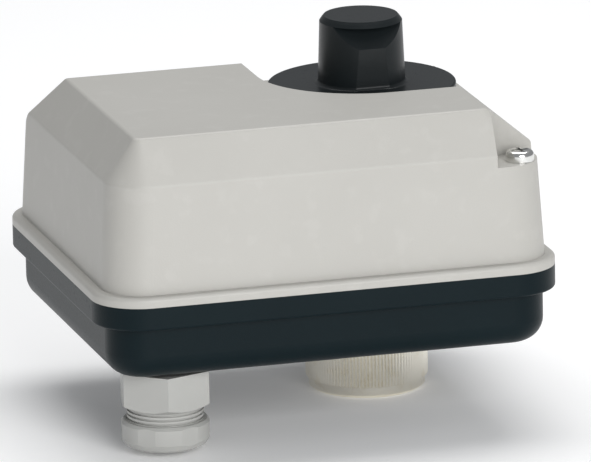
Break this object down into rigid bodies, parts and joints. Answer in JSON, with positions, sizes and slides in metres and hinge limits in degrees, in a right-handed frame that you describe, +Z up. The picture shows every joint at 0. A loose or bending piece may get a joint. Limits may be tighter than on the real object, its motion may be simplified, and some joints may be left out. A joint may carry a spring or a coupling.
{
  "type": "motorized valve actuator",
  "caption": "Electric linear actuator for a small globe valve: hip-roofed cover on a dark base, manual knob, union nut and cable gland.",
  "frame": {"origin": "on the lift stem's axis, at the inner end of the union nut's thread", "axes": "+Z up the stem, away from the valve; +X along the housing's long side towards the knob's end; -Y the front"},
  "size_m": [0.14, 0.1204, 0.1133],
  "materials": {
    "black_acetal": "moulded",
    "black_housing": "fine moulded texture",
    "black_knob": "satin",
    "black_metal": "black",
    "blue_plastic": "moulded",
    "board_green": "solder mask",
    "brass": "cut",
    "bronze": "sintered",
    "capacitor_sleeve": "sleeve",
    "gland_grey": "moulded",
    "grey_cover": "fine moulded grain",
    "ground_steel": "ground",
    "motor_steel": "plated",
    "nickel_brass": "nickel plated, knurled",
    "plated_screw": "bright plated",
    "relay_black": "moulded",
    "seal_rubber": "matt",
    "spring_steel": "plain",
    "steel": "plain",
    "switch_red": "moulded",
    "terminal_green": "moulded",
    "white_acetal": "moulded",
    "zinc_steel": "zinc plated"
  },
  "bodies": {
    "base": {"base_housing": "black_housing", "board_screws": "plated_screw", "capacitor": "capacitor_sleeve", "circuit_board": "board_green", "cover_gasket": "seal_rubber", "gear_arbors": "ground_steel", "gland_body": "gland_grey", "gland_cap": "gland_grey", "gland_lock_nut": "gland_grey", "gland_ring": "seal_rubber", "gland_seal": "seal_rubber", "lower_plate": "zinc_steel", "mode_switches": "switch_red", "motor_can": "motor_steel", "motor_gearbox": "zinc_steel", "motor_screws": "plated_screw", "neck_lock_nut": "steel", "plate_pillars": "steel", "plate_screws": "plated_screw", "position_sensor": "blue_plastic", "relays": "relay_black", "shaft_bush_lower": "bronze", "shaft_bush_upper": "bronze", "stem_bush": "bronze", "terminal_block": "terminal_green", "terminal_screws": "plated_screw", "upper_plate": "zinc_steel", "valve_neck": "black_metal"},
    "cover": {"cover": "grey_cover", "cover_screws": "plated_screw"},
    "knob": {"manual_knob": "black_knob", "knob_clip": "spring_steel"},
    "union": {"union_nut": "nickel_brass"},
    "stem": {"lift_stem": "ground_steel"},
    "drive": {"drive_shaft": "ground_steel", "drive_gear": "white_acetal"},
    "idler": {"idler_gear": "white_acetal"},
    "pinion": {"motor_pinion": "brass"},
    "feedback": {"feedback_gear": "black_acetal"}
  },
  "joints": [
    {"name": "drive_turn", "type": "hinge", "parent": "base", "child": "drive", "pos_m": [0, 0, 0], "axis": [0, 0, 1], "range_deg": [0, 180]},
    {"name": "stem_lift", "type": "slide", "parent": "base", "child": "stem", "axis": [0, 0, -1], "range_m": [0, 0.0055]},
    {"name": "idler_turn", "type": "hinge", "parent": "base", "child": "idler", "pos_m": [-0.02598, 0.015, 0], "axis": [0, 0, 1], "range_deg": [-720, 0]},
    {"name": "motor_turn", "type": "hinge", "parent": "base", "child": "pinion", "pos_m": [-0.04478, 0.00816, 0], "axis": [0, 0, 1], "range_deg": [0, 2880]},
    {"name": "feedback_turn", "type": "hinge", "parent": "base", "child": "feedback", "pos_m": [0, -0.04, 0], "axis": [0, 0, 1], "range_deg": [-270, 0]},
    {"name": "cover_lift", "type": "slide", "parent": "base", "child": "cover", "axis": [0, 0, 1], "range_m": [0, 0.08]},
    {"name": "knob_turn", "type": "hinge", "parent": "cover", "child": "knob", "pos_m": [0, 0, 0], "axis": [0, 0, 1], "range_deg": [0, 180]},
    {"name": "union_spin", "type": "hinge", "parent": "base", "child": "union", "pos_m": [0, 0, 0], "axis": [0, 0, 1], "continuous": true}
  ],
  "couplings": [
    {"joint": "stem_lift", "follows": "drive_turn", "m_per_rad": 0.0017507},
    {"joint": "idler_turn", "follows": "drive_turn", "ratio": -4},
    {"joint": "motor_turn", "follows": "drive_turn", "ratio": 16},
    {"joint": "feedback_turn", "follows": "drive_turn", "ratio": -1.5},
    {"joint": "knob_turn", "follows": "drive_turn", "ratio": 1}
  ]
}
